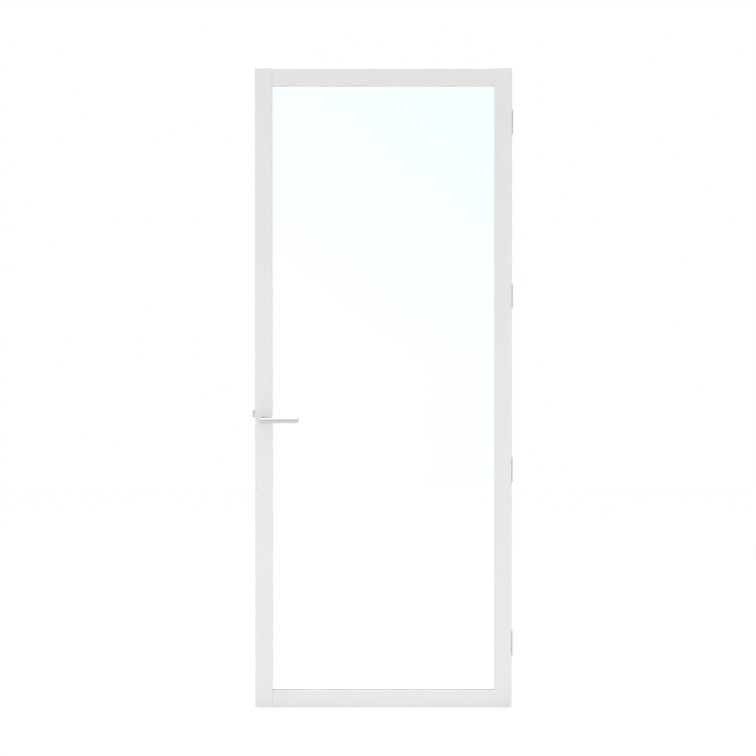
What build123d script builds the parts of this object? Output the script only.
from build123d import *
import math
import os

# A single glazed interior door leaf with a lever latch, hung on four butt hinges. Millimetres.
# The front face looks towards -Y, the lock stile is at -X, the hinge stile at +X, and +Z is up.
# The origin is the middle of the leaf's bottom edge.

# Leaf frame
leaf_width = 930.0
leaf_height = 2315.0
leaf_thickness = 40.0
member_width = 62.0  # face width of the stiles and rails
arris = 2.0  # rounded edges of the lacquered frame
overrun = 1.0  # how far a cut runs past the face it opens

# Corner joints
dowel_diameter = 10.0
dowel_length = 60.0
dowel_pitch = 22.0
dowel_ease = 1.0
dowel_end_gap = 0.2
dowel_fit = 0.1

# Glazing
lip_depth = 14.0  # front lip that the pane is set against
rebate_width = 12.0
seal_thickness = 3.0
seal_setback = 0.5
glass_thickness = 6.0
glass_arris = 0.8
glass_edge_gap = 3.0
bead_ease = 2.0
block_length = 80.0
block_width = 10.0
block_corner_gap = 87.0  # pane's corner to the near end of a location block

# Latch lock
backset = 30.0
spindle_height = 1043.0
spindle_square = 8.0
square_fit = 0.1
faceplate_height = 180.0
faceplate_width = 22.0
faceplate_thickness = 3.0
faceplate_fit = 0.15
faceplate_tail = 31.0  # plate beyond the case at each end
faceplate_screw_inset = 15.0  # plate's end to its screw
faceplate_screw_radius = 2.0
faceplate_screw_head_radius = 4.0
faceplate_screw_length = 30.0
case_depth = 42.5
case_thickness = 14.0
case_wall = 1.2
spindle_drop = 5.0  # spindle axis below the middle of the case
mortise_gap = 0.7
hub_radius = 9.0
hub_gap = 0.3
boss_radius = 7.5
running_fit = 0.05
finger_reach = 17.0
finger_width = 5.0
finger_thickness = 5.0
finger_tilt = 20.0  # degrees; at rest the finger leans towards the latch bolt
latch_reach = 10.5  # how far the bolt stands out of the edge
latch_length = 29.0
latch_height = 25.0
latch_lift = 10.5
latch_tip = 2.0
latch_fit = 0.25
tail_gap = 1.0
tail_thickness = 5.0
hook_overlap = 2.5
hook_gap = 0.4
hook_thickness = 4.0
spring_thickness = 0.5
spring_width = 6.0
spring_foot = 12.0
spring_bend = 3.0
spring_gap = 0.2

# Lever set
bar_diameter = 19.0
lever_length = 126.0  # spindle axis to the free end
bar_overhang = 11.0  # spindle axis to the bar's near end
lever_standoff = 48.0  # leaf face to the bar's axis
bar_end_ease = 0.8
neck_diameter = 17.0
neck_blend = 1.0
rose_diameter = 24.0
rose_thickness = 3.0
rose_ease = 0.8
rose_gap = 0.4
barrel_diameter = 20.0
ring_diameter = 17.0
journal_diameter = 14.0
socket_depth = 40.0
spindle_end_gap = 2.0
grub_radius = 2.5
grub_distance = 13.0  # leaf face to the grub screw's axis
grub_key = 2.5

# Hinges
hinge_height = 89.0
hinge_run = 36.0  # plate width along the leaf's edge
hinge_thickness = 2.5
hinge_corner = 8.0
hinge_gain_fit = 0.15
leaf_gap = 1.5  # closed leaf to the post it hangs on
pin_diameter = 6.0
knuckle_diameter = 11.0
knuckle_standoff = 0.5
knuckle_gap = 0.25
bearing_thickness = 2.0
bearing_gap = 0.1
pin_head = 2.5
pin_head_ease = 1.0
hinge_low = 230.0  # lowest hinge's centre above the leaf's bottom
hinge_high = 190.0  # highest hinge's centre below the leaf's top
hinge_count = 4
hinge_screw_rise = 58.0
hinge_screw_spread = 18.0
hinge_screw_radius = 2.25
hinge_hole_radius = 2.5
hinge_screw_head_radius = 4.25
hinge_screw_length = 35.0
screw_drive_share = 0.5  # width of the drive socket as a share of the head
screw_drive_depth_share = 0.6  # depth of the drive socket as a share of the head's height
screw_fit = 0.05

# Lines that the pieces share
lock_side = -1
hinge_side = 1
half_width = leaf_width / 2
half_thickness = leaf_thickness / 2
sight_x = half_width - member_width
rebate_x = sight_x + rebate_width
core_width = member_width - rebate_width
sight_high = leaf_height - member_width
rebate_high = leaf_height - core_width
lip_y = lip_depth - half_thickness
glass_front_y = lip_y + seal_thickness
glass_rear_y = glass_front_y + glass_thickness
bead_y = glass_rear_y + seal_thickness
core_y = (lip_y + half_thickness) / 2
glass_x = rebate_x - glass_edge_gap
glass_low = core_width + glass_edge_gap
glass_high = leaf_height - glass_low
middle_z = leaf_height / 2
spindle_x = backset - half_width


def stile_section(side):
    """Outline of a stile seen from above: the front lip, the rebate behind it and the core."""
    Polyline(
        (side * half_width, -half_thickness),
        (side * sight_x, -half_thickness),
        (side * sight_x, lip_y),
        (side * rebate_x, lip_y),
        (side * rebate_x, half_thickness),
        (side * half_width, half_thickness),
        close=True,
    )


# Dowels: two in each corner, across the joint between stile core and rail core
dowel_offsets = [core_width / 2 - dowel_pitch / 2, core_width / 2 + dowel_pitch / 2]
dowel_levels = dowel_offsets + [leaf_height - offset for offset in dowel_offsets]
dowel_places = [(core_y, level) for level in dowel_levels]
dowel_hole_depth = dowel_length / 2 + dowel_end_gap

# Latch lock lines
face_x = -half_width + faceplate_thickness
case_back_x = face_x + case_depth - case_wall
case_mid_x = face_x + case_depth / 2
case_height = faceplate_height - 2 * faceplate_tail
lock_z = spindle_height + spindle_drop
faceplate_screw_reach = faceplate_height / 2 - faceplate_screw_inset
faceplate_screw_levels = [lock_z - faceplate_screw_reach, lock_z + faceplate_screw_reach]
faceplate_screw_planes = [
    Plane(origin=(-half_width, 0, level), x_dir=(0, 0, 1), z_dir=(lock_side, 0, 0))
    for level in faceplate_screw_levels
]

# Hinge lines
hinge_pitch = (leaf_height - hinge_low - hinge_high) / (hinge_count - 1)
hinge_levels = [hinge_low + index * hinge_pitch for index in range(hinge_count)]
axis_x = half_width + leaf_gap / 2
axis_y = half_thickness + knuckle_standoff + knuckle_diameter / 2
hinge_screw_y = half_thickness - hinge_run / 2
hinge_screw_places = [
    (hinge_screw_y + spread * hinge_screw_spread / 2, rise * hinge_screw_rise / 2)
    for spread in (-1, 1)
    for rise in (-1, 1)
]

with BuildPart() as lock_stile:
    with BuildSketch():
        with BuildLine():
            stile_section(lock_side)
        make_face()
    extrude(amount=leaf_height)
    uprights = lock_stile.edges().filter_by(Axis.Z)
    fillet(uprights.group_by(Axis.Y)[0] + uprights.group_by(Axis.Y)[-1].sort_by(Axis.X)[:1], arris)
    # Recess for the faceplate and mortise for the case behind it
    with BuildSketch(Plane.YZ.offset(-half_width)):
        with Locations((0, lock_z)):
            SlotOverall(
                faceplate_height + 2 * faceplate_fit, faceplate_width + 2 * faceplate_fit, rotation=90
            )
    extrude(amount=faceplate_thickness, mode=Mode.SUBTRACT)
    with BuildSketch(Plane.YZ.offset(face_x)):
        with Locations((0, lock_z)):
            Rectangle(case_thickness + 2 * mortise_gap, case_height + 2 * mortise_gap)
    extrude(amount=case_depth + mortise_gap, mode=Mode.SUBTRACT)
    with BuildSketch(Plane.YZ.offset(face_x)):
        with Locations(*[(0, level) for level in faceplate_screw_levels]):
            Circle(faceplate_screw_radius + screw_fit)
    extrude(amount=faceplate_screw_length, mode=Mode.SUBTRACT)
    # Bore for the rose barrels, from face to face
    with BuildSketch(Plane.XZ):
        with Locations((spindle_x, spindle_height)):
            Circle(barrel_diameter / 2 + running_fit)
    extrude(amount=half_thickness + overrun, both=True, mode=Mode.SUBTRACT)
    with BuildSketch(Plane.YZ.offset(-rebate_x)):
        with Locations(*dowel_places):
            Circle(dowel_diameter / 2 + dowel_fit)
    extrude(amount=-dowel_hole_depth, mode=Mode.SUBTRACT)

with BuildPart() as hinge_stile:
    with BuildSketch():
        with BuildLine():
            stile_section(hinge_side)
        make_face()
    extrude(amount=leaf_height)
    uprights = hinge_stile.edges().filter_by(Axis.Z)
    fillet(uprights.sort_by(Axis.X)[-2:], arris)
    # The sight edge is rounded only beside the pane, so that the rails meet it flush
    with BuildSketch(Plane.XY.offset(member_width)):
        with Locations((sight_x, -half_thickness)):
            Rectangle(arris, arris, align=Align.MIN)
        with Locations((sight_x + arris, arris - half_thickness)):
            Circle(arris, mode=Mode.SUBTRACT)
    extrude(amount=leaf_height - 2 * member_width, mode=Mode.SUBTRACT)
    # Gains for the hinge plates, open at the rear face
    with BuildSketch(Plane.YZ.offset(half_width)) as gains:
        with Locations(*[(half_thickness + overrun, level) for level in hinge_levels]):
            Rectangle(
                hinge_run + hinge_gain_fit + overrun,
                hinge_height + 2 * hinge_gain_fit,
                align=(Align.MAX, Align.CENTER),
            )
        fillet(gains.vertices().group_by(Axis.X)[0], hinge_corner)
    extrude(amount=-hinge_thickness, mode=Mode.SUBTRACT)
    with BuildSketch(Plane.YZ.offset(half_width)):
        with Locations(*[(y, level + rise) for level in hinge_levels for y, rise in hinge_screw_places]):
            Circle(hinge_screw_radius + screw_fit)
    extrude(amount=-hinge_screw_length - hinge_thickness, mode=Mode.SUBTRACT)
    with BuildSketch(Plane.YZ.offset(rebate_x)):
        with Locations(*dowel_places):
            Circle(dowel_diameter / 2 + dowel_fit)
    extrude(amount=dowel_hole_depth, mode=Mode.SUBTRACT)


def make_rail(end_z, inward):
    """A rail at the leaf's end end_z. inward is the way from that end into the leaf, 1 is up."""
    grow = Align.MIN if inward > 0 else Align.MAX
    outer = 0 if inward > 0 else -1
    with BuildPart() as rail:
        with BuildSketch(Plane.YZ):
            with Locations((-half_thickness, end_z)):
                Rectangle(lip_depth, member_width, align=(Align.MIN, grow))
        extrude(amount=sight_x, both=True)
        # The core is longer than the lip, because it reaches into the rebates of the stiles
        with BuildSketch(Plane.YZ):
            with Locations((lip_y, end_z)):
                Rectangle(leaf_thickness - lip_depth, core_width, align=(Align.MIN, grow))
        extrude(amount=rebate_x, both=True)
        runs = rail.edges().filter_by(Axis.X)
        rear_outer = runs.group_by(Axis.Y)[-1].sort_by(Axis.Z)[outer]
        lock_seam = rail.edges().filter_by(Axis.Z).group_by(Axis.Y)[0].sort_by(Axis.X)[0]
        fillet(runs.group_by(Axis.Y)[0] + [rear_outer, lock_seam], arris)
        for side in (lock_side, hinge_side):
            with BuildSketch(Plane.YZ.offset(side * rebate_x)):
                with Locations(*[(core_y, end_z + inward * offset) for offset in dowel_offsets]):
                    Circle(dowel_diameter / 2 + dowel_fit)
            extrude(amount=-side * dowel_hole_depth, mode=Mode.SUBTRACT)
    return rail


bottom_rail = make_rail(0, 1)
top_rail = make_rail(leaf_height, -1)

with BuildPart() as dowels:
    for side in (lock_side, hinge_side):
        with BuildSketch(Plane.YZ.offset(side * rebate_x)):
            with Locations(*dowel_places):
                Circle(dowel_diameter / 2)
        extrude(amount=dowel_length / 2, both=True)
    chamfer(dowels.edges().filter_by(GeomType.CIRCLE), dowel_ease)

with BuildPart() as glass_pane:
    with BuildSketch(Plane.XZ.offset(-glass_front_y)):
        with Locations((0, middle_z)):
            Rectangle(2 * glass_x, glass_high - glass_low)
    extrude(amount=-glass_thickness)
    chamfer(glass_pane.edges(), glass_arris)


def make_bead(corners, run):
    """A rear glazing bead with mitred ends. corners outline it from behind, run is the axis it follows."""
    with BuildPart() as bead:
        with BuildSketch(Plane.XZ.offset(-bead_y)):
            with BuildLine():
                Polyline(*corners, close=True)
            make_face()
        extrude(amount=-(half_thickness - bead_y))
        rear_edges = bead.edges().filter_by(run).group_by(Axis.Y)[-1]
        fillet(rear_edges.sort_by(SortBy.LENGTH)[0], bead_ease)
    return bead


def upright_bead(side):
    return make_bead(
        [
            (side * rebate_x, core_width),
            (side * sight_x, member_width),
            (side * sight_x, sight_high),
            (side * rebate_x, rebate_high),
        ],
        Axis.Z,
    )


def level_bead(rebate_z, sight_z):
    return make_bead(
        [(-rebate_x, rebate_z), (-sight_x, sight_z), (sight_x, sight_z), (rebate_x, rebate_z)], Axis.X
    )


bead_lock_side = upright_bead(lock_side)
bead_hinge_side = upright_bead(hinge_side)
bead_bottom = level_bead(core_width, member_width)
bead_top = level_bead(rebate_high, sight_high)

# Seal strips: the uprights run the pane's full height, the level ones fit between them
seal_width = glass_x - sight_x - seal_setback
seal_x = glass_x - seal_width / 2
seal_low_z = glass_low + seal_width / 2
seal_high_z = glass_high - seal_width / 2
seal_level_length = 2 * (glass_x - seal_width)


def make_seal(near_y, place, width, height):
    """A flat strip between the pane and the frame, from near_y to the rear of its thickness."""
    with BuildPart() as seal:
        with BuildSketch(Plane.XZ.offset(-near_y)):
            with Locations(place):
                Rectangle(width, height)
        extrude(amount=-seal_thickness)
    return seal


seals = {}
for face, near_y in (("front", lip_y), ("rear", glass_rear_y)):
    upright_height = glass_high - glass_low
    seals[f"{face}_seal_lock_side"] = make_seal(near_y, (-seal_x, middle_z), seal_width, upright_height)
    seals[f"{face}_seal_hinge_side"] = make_seal(near_y, (seal_x, middle_z), seal_width, upright_height)
    seals[f"{face}_seal_bottom"] = make_seal(near_y, (0, seal_low_z), seal_level_length, seal_width)
    seals[f"{face}_seal_top"] = make_seal(near_y, (0, seal_high_z), seal_level_length, seal_width)

with BuildPart() as setting_blocks:
    with BuildSketch(Plane.XY.offset(core_width)):
        with Locations((-glass_x / 2, 0), (glass_x / 2, 0)):
            Rectangle(block_length, block_width)
    extrude(amount=glass_edge_gap)

block_level = glass_low + block_corner_gap + block_length / 2
with BuildPart() as location_blocks:
    for side in (lock_side, hinge_side):
        with BuildSketch(Plane.YZ.offset(side * glass_x)):
            with Locations((0, block_level), (0, leaf_height - block_level)):
                Rectangle(block_width, block_length)
        extrude(amount=side * glass_edge_gap)


def make_screws(planes, head_radius, shank_radius, length):
    """Countersunk screws, one on each plane, with the head's top in the plane and the shank behind it."""
    head_height = head_radius - shank_radius
    drive_depth = head_height * screw_drive_depth_share
    with BuildPart() as screws:
        with Locations(*planes):
            Cone(shank_radius, head_radius, head_height, align=(Align.CENTER, Align.CENTER, Align.MAX))
            Cylinder(shank_radius, length, align=(Align.CENTER, Align.CENTER, Align.MAX))
        with BuildSketch(*planes):
            RegularPolygon(head_radius * screw_drive_share, 6)
        extrude(amount=-drive_depth, mode=Mode.SUBTRACT)
    return screws


# Latch lock, from the edge of the leaf inwards
with BuildPart() as lock_faceplate:
    with BuildSketch(Plane.YZ.offset(-half_width)):
        with Locations((0, lock_z)):
            SlotOverall(faceplate_height, faceplate_width, rotation=90)
        with Locations((0, spindle_height + latch_lift + latch_height / 2)):
            Rectangle(
                case_thickness - 2 * case_wall - 2 * hub_gap + 2 * latch_fit,
                latch_height + 2 * latch_fit,
                mode=Mode.SUBTRACT,
            )
    extrude(amount=faceplate_thickness)
    with Locations(*faceplate_screw_planes):
        CounterSinkHole(
            faceplate_screw_radius + screw_fit,
            faceplate_screw_head_radius + screw_fit,
            faceplate_thickness,
            counter_sink_angle=90,
        )

faceplate_screws = make_screws(
    faceplate_screw_planes, faceplate_screw_head_radius, faceplate_screw_radius, faceplate_screw_length
)

with BuildPart() as lock_case:
    with BuildSketch(Plane.XZ.offset(case_thickness / 2)):
        with Locations((case_mid_x, lock_z)):
            Rectangle(case_depth, case_height)
    extrude(amount=case_wall - case_thickness)
    # Hollow, open towards the faceplate and towards the cover
    with BuildSketch(Plane.XZ.offset(case_thickness / 2 - case_wall)):
        with Locations((case_back_x, lock_z)):
            Rectangle(
                case_depth - case_wall + overrun,
                case_height - 2 * case_wall,
                align=(Align.MAX, Align.CENTER),
            )
    extrude(amount=-case_thickness, mode=Mode.SUBTRACT)
    with BuildSketch(Plane.XZ):
        with Locations((spindle_x, spindle_height)):
            Circle(boss_radius + running_fit)
    extrude(amount=case_thickness, mode=Mode.SUBTRACT)

with BuildPart() as lock_cover:
    with BuildSketch(Plane.XZ.offset(case_wall - case_thickness / 2)):
        with Locations((case_mid_x, lock_z)):
            Rectangle(case_depth, case_height)
        with Locations((spindle_x, spindle_height)):
            Circle(boss_radius + running_fit, mode=Mode.SUBTRACT)
    extrude(amount=-case_wall)

with BuildPart() as follower:
    with BuildSketch(Plane.XZ):
        with Locations((spindle_x, spindle_height)):
            SlotCenterToCenter(2 * finger_reach, finger_width, rotation=90 + finger_tilt)
    extrude(amount=finger_thickness / 2, both=True)
    with BuildSketch(Plane.XZ):
        with Locations((spindle_x, spindle_height)):
            Circle(hub_radius)
    extrude(amount=case_thickness / 2 - case_wall - hub_gap, both=True)
    with BuildSketch(Plane.XZ):
        with Locations((spindle_x, spindle_height)):
            Circle(boss_radius)
    extrude(amount=case_thickness / 2, both=True)
    with BuildSketch(Plane.XZ):
        with Locations((spindle_x, spindle_height)):
            Rectangle(spindle_square + 2 * square_fit, spindle_square + 2 * square_fit)
    extrude(amount=case_thickness, both=True, mode=Mode.SUBTRACT)

# The bolt's hook stands behind the follower's upper finger, clear of it over the whole turn
tilt = math.radians(finger_tilt)
hook_low = finger_reach - hook_overlap
hook_x = spindle_x - hook_low * math.tan(tilt) + finger_width / 2 / math.cos(tilt) + hook_gap
tail_low = finger_reach + finger_width / 2 + tail_gap
latch_tip_x = -half_width - latch_reach
latch_rear_x = latch_tip_x + latch_length
latch_half = case_thickness / 2 - case_wall - hub_gap

with BuildPart() as latch_bolt:
    # Head, with its bevel on the front side, which meets the strike as the leaf closes
    with BuildSketch(Plane.XY.offset(spindle_height + latch_lift)):
        with BuildLine():
            Polyline(
                (latch_rear_x, -latch_half),
                (latch_tip_x + 2 * latch_half - latch_tip, -latch_half),
                (latch_tip_x, latch_half - latch_tip),
                (latch_tip_x, latch_half),
                (latch_rear_x, latch_half),
                close=True,
            )
        make_face()
    extrude(amount=latch_height)
    with BuildSketch(Plane.XZ):
        with Locations((latch_rear_x, spindle_height + tail_low)):
            Rectangle(hook_x + hook_thickness - latch_rear_x, tail_thickness, align=Align.MIN)
        with Locations((hook_x, spindle_height + hook_low)):
            Rectangle(hook_thickness, tail_low - hook_low, align=Align.MIN)
    extrude(amount=finger_thickness / 2, both=True)


def make_flat_spring(points):
    """A bent strip of spring steel along points in the lock's own plane."""
    with BuildPart() as spring:
        with BuildSketch(Plane.XZ):
            with BuildLine():
                FilletPolyline(*points, radius=spring_bend)
            trace(line_width=spring_thickness)
        extrude(amount=spring_width / 2, both=True)
    return spring


spring_top_z = lock_z + case_height / 2 - case_wall - spring_thickness / 2
spring_low_z = lock_z - case_height / 2 + case_wall + spring_thickness / 2
latch_spring = make_flat_spring(
    [
        (case_back_x - spring_foot, spring_top_z),
        (case_back_x - spring_thickness / 2, spring_top_z),
        (hook_x + hook_thickness + spring_thickness + spring_gap, spindle_height + tail_low),
    ]
)
follower_spring = make_flat_spring(
    [
        (spindle_x - 2 * spring_foot, spring_low_z),
        (spindle_x - spring_foot, spring_low_z),
        (
            spindle_x + finger_reach * math.sin(tilt) - finger_width / 2 - spring_thickness - spring_gap,
            spindle_height - finger_reach * math.cos(tilt),
        ),
    ]
)

# Lever set
shoulder = half_thickness + rose_thickness + rose_gap
barrel_inner = case_thickness / 2 + mortise_gap
bar_face = half_thickness + lever_standoff


def make_lever(out):
    """A lever on one face: a round bar on a round neck. out is -1 at the front and 1 at the rear."""
    with BuildPart() as lever:
        with BuildSketch(Plane.YZ.offset(spindle_x - bar_overhang)):
            with Locations((out * bar_face, spindle_height)):
                Circle(bar_diameter / 2)
        extrude(amount=bar_overhang + lever_length)
        chamfer(lever.edges().filter_by(GeomType.CIRCLE), bar_end_ease)
        with BuildSketch(Plane.XZ.offset(-out * shoulder)):
            with Locations((spindle_x, spindle_height)):
                Circle(neck_diameter / 2)
        extrude(amount=-out * (bar_face - shoulder))
        fillet(lever.edges(Select.LAST).filter_by(GeomType.BSPLINE), neck_blend)
        with BuildSketch(Plane.XZ.offset(-out * barrel_inner)):
            with Locations((spindle_x, spindle_height)):
                Circle(journal_diameter / 2)
        extrude(amount=-out * (shoulder - barrel_inner))
        # Square socket for the spindle, and the grub screw's hole from below
        with BuildSketch(Plane.XZ.offset(-out * barrel_inner)):
            with Locations((spindle_x, spindle_height)):
                Rectangle(spindle_square + 2 * square_fit, spindle_square + 2 * square_fit)
        extrude(amount=-out * socket_depth, mode=Mode.SUBTRACT)
        with BuildSketch(Plane.XY.offset(spindle_height)):
            with Locations((spindle_x, out * (shoulder + grub_distance))):
                Circle(grub_radius + screw_fit)
        extrude(amount=-neck_diameter, mode=Mode.SUBTRACT)
    return lever


front_lever = make_lever(-1)
rear_lever = make_lever(1)


def make_rose(out):
    """A small flanged bush in the stile, which the lever's journal turns in."""
    with BuildPart() as rose:
        with BuildSketch(Plane.XZ.offset(-out * half_thickness)):
            with Locations((spindle_x, spindle_height)):
                Circle(rose_diameter / 2)
        extrude(amount=-out * rose_thickness)
        rims = rose.edges().filter_by(GeomType.CIRCLE).sort_by(Axis.Y)
        fillet(rims[-1] if out > 0 else rims[0], rose_ease)
        with BuildSketch(Plane.XZ.offset(-out * barrel_inner)):
            with Locations((spindle_x, spindle_height)):
                Circle(barrel_diameter / 2)
        extrude(amount=-out * (half_thickness - barrel_inner))
        with BuildSketch(Plane.XZ.offset(-out * barrel_inner)):
            with Locations((spindle_x, spindle_height)):
                Circle(ring_diameter / 2 + running_fit)
        extrude(amount=-out * (half_thickness - barrel_inner), mode=Mode.SUBTRACT)
        with BuildSketch(Plane.XZ.offset(-out * barrel_inner)):
            with Locations((spindle_x, spindle_height)):
                Circle(journal_diameter / 2 + rose_gap)
        extrude(amount=-out * leaf_thickness, mode=Mode.SUBTRACT)
    return rose


def make_bearing_ring(out):
    with BuildPart() as ring:
        with BuildSketch(Plane.XZ.offset(-out * barrel_inner)):
            with Locations((spindle_x, spindle_height)):
                Circle(ring_diameter / 2)
                Circle(journal_diameter / 2 + running_fit, mode=Mode.SUBTRACT)
        extrude(amount=-out * (half_thickness - barrel_inner))
    return ring


front_rose = make_rose(-1)
rear_rose = make_rose(1)
front_bearing_ring = make_bearing_ring(-1)
rear_bearing_ring = make_bearing_ring(1)

with BuildPart() as spindle:
    with BuildSketch(Plane.XZ):
        with Locations((spindle_x, spindle_height)):
            Rectangle(spindle_square, spindle_square)
    extrude(amount=barrel_inner + socket_depth - spindle_end_gap, both=True)

with BuildPart() as grub_screws:
    with BuildSketch(Plane.XY.offset(spindle_height - spindle_square / 2)):
        with Locations(*[(spindle_x, out * (shoulder + grub_distance)) for out in (-1, 1)]):
            Circle(grub_radius)
    extrude(amount=-(neck_diameter - spindle_square) / 2)
    with BuildSketch(Plane.XY.offset(spindle_height - neck_diameter / 2)):
        with Locations(*[(spindle_x, out * (shoulder + grub_distance)) for out in (-1, 1)]):
            RegularPolygon(grub_key / 2, 6)
    extrude(amount=grub_key, mode=Mode.SUBTRACT)

# Hinges. Each has five knuckles: three on the wall-side plate and two on the leaf-side plate, which
# rest on thrust washers.
knuckle_spacers = [bearing_thickness, knuckle_gap, bearing_thickness, knuckle_gap, 0]
knuckle_length = (hinge_height - sum(knuckle_spacers)) / len(knuckle_spacers)
knuckle_lows = []
knuckle_low = -hinge_height / 2
for spacer in knuckle_spacers:
    knuckle_lows.append(knuckle_low)
    knuckle_low += knuckle_length + spacer
bearing_lows = [knuckle_lows[0] + knuckle_length, knuckle_lows[2] + knuckle_length]


def make_hinge_plate(level, side, lows, hole_radius):
    """One half of a hinge. side is -1 for the plate on the leaf and 1 for the plate on the wall."""
    inner_x = axis_x + side * leaf_gap / 2
    mid_x = inner_x + side * hinge_thickness / 2
    hole_planes = [
        Plane(origin=(inner_x, y, level + rise), x_dir=(0, 0, 1), z_dir=(-side, 0, 0))
        for y, rise in hinge_screw_places
    ]
    with BuildPart() as plate:
        with BuildSketch(Plane.YZ.offset(inner_x)) as outline:
            with Locations((half_thickness, level)):
                Rectangle(hinge_run, hinge_height, align=(Align.MAX, Align.CENTER))
            fillet(outline.vertices().group_by(Axis.X)[0], hinge_corner)
        extrude(amount=side * hinge_thickness)
        for low in lows:
            with BuildSketch(Plane.XY.offset(level + low)):
                with Locations((axis_x, axis_y)):
                    Circle(knuckle_diameter / 2)
                with Locations((mid_x, half_thickness)):
                    Rectangle(hinge_thickness, axis_y - half_thickness, align=(Align.CENTER, Align.MIN))
            extrude(amount=knuckle_length)
        with BuildSketch(Plane.XY.offset(level)):
            with Locations((axis_x, axis_y)):
                Circle(pin_diameter / 2 + running_fit)
        extrude(amount=hinge_height, both=True, mode=Mode.SUBTRACT)
        with Locations(*hole_planes):
            CounterSinkHole(
                hole_radius, hinge_screw_head_radius + screw_fit, hinge_thickness, counter_sink_angle=90
            )
    return plate


def make_hinge_pin(level):
    with BuildPart() as pin:
        with BuildSketch(Plane.XY.offset(level)):
            with Locations((axis_x, axis_y)):
                Circle(pin_diameter / 2)
        extrude(amount=hinge_height / 2, both=True)
        for end in (-1, 1):
            with BuildSketch(Plane.XY.offset(level + end * hinge_height / 2)):
                with Locations((axis_x, axis_y)):
                    Circle(knuckle_diameter / 2)
            extrude(amount=end * pin_head)
        rims = pin.edges().filter_by(GeomType.CIRCLE).group_by(Axis.Z)
        fillet(rims[0] + rims[-1], pin_head_ease)
    return pin


hinges = {}
for number, level in enumerate(hinge_levels, start=1):
    hinges[f"hinge_{number}_leaf_plate"] = make_hinge_plate(
        level, lock_side, knuckle_lows[1::2], hinge_screw_radius + screw_fit
    )
    hinges[f"hinge_{number}_wall_plate"] = make_hinge_plate(
        level, hinge_side, knuckle_lows[0::2], hinge_hole_radius
    )
    hinges[f"hinge_{number}_pin"] = make_hinge_pin(level)

with BuildPart() as hinge_bearings:
    for level in hinge_levels:
        for low in bearing_lows:
            with BuildSketch(Plane.XY.offset(level + low)):
                with Locations((axis_x, axis_y)):
                    Circle(knuckle_diameter / 2)
                    Circle(pin_diameter / 2 + running_fit, mode=Mode.SUBTRACT)
            extrude(amount=bearing_thickness - bearing_gap)

hinge_screw_planes = [
    Plane(origin=(half_width, y, level + rise), x_dir=(0, 0, 1), z_dir=(hinge_side, 0, 0))
    for level in hinge_levels
    for y, rise in hinge_screw_places
]
hinge_screws = make_screws(
    hinge_screw_planes, hinge_screw_head_radius, hinge_screw_radius, hinge_screw_length
)

pieces = {
    "lock_stile": lock_stile,
    "hinge_stile": hinge_stile,
    "bottom_rail": bottom_rail,
    "top_rail": top_rail,
    "dowels": dowels,
    "glass_pane": glass_pane,
    "bead_lock_side": bead_lock_side,
    "bead_hinge_side": bead_hinge_side,
    "bead_bottom": bead_bottom,
    "bead_top": bead_top,
    **seals,
    "setting_blocks": setting_blocks,
    "location_blocks": location_blocks,
    "lock_faceplate": lock_faceplate,
    "faceplate_screws": faceplate_screws,
    "lock_case": lock_case,
    "lock_cover": lock_cover,
    "follower": follower,
    "latch_bolt": latch_bolt,
    "latch_spring": latch_spring,
    "follower_spring": follower_spring,
    "front_lever": front_lever,
    "rear_lever": rear_lever,
    "front_rose": front_rose,
    "rear_rose": rear_rose,
    "front_bearing_ring": front_bearing_ring,
    "rear_bearing_ring": rear_bearing_ring,
    "spindle": spindle,
    "grub_screws": grub_screws,
    **hinges,
    "hinge_bearings": hinge_bearings,
    "hinge_screws": hinge_screws,
}
os.makedirs("parts", exist_ok=True)
for name, piece in pieces.items():
    piece.part.label = name
    export_step(piece.part, f"parts/{name}.step")
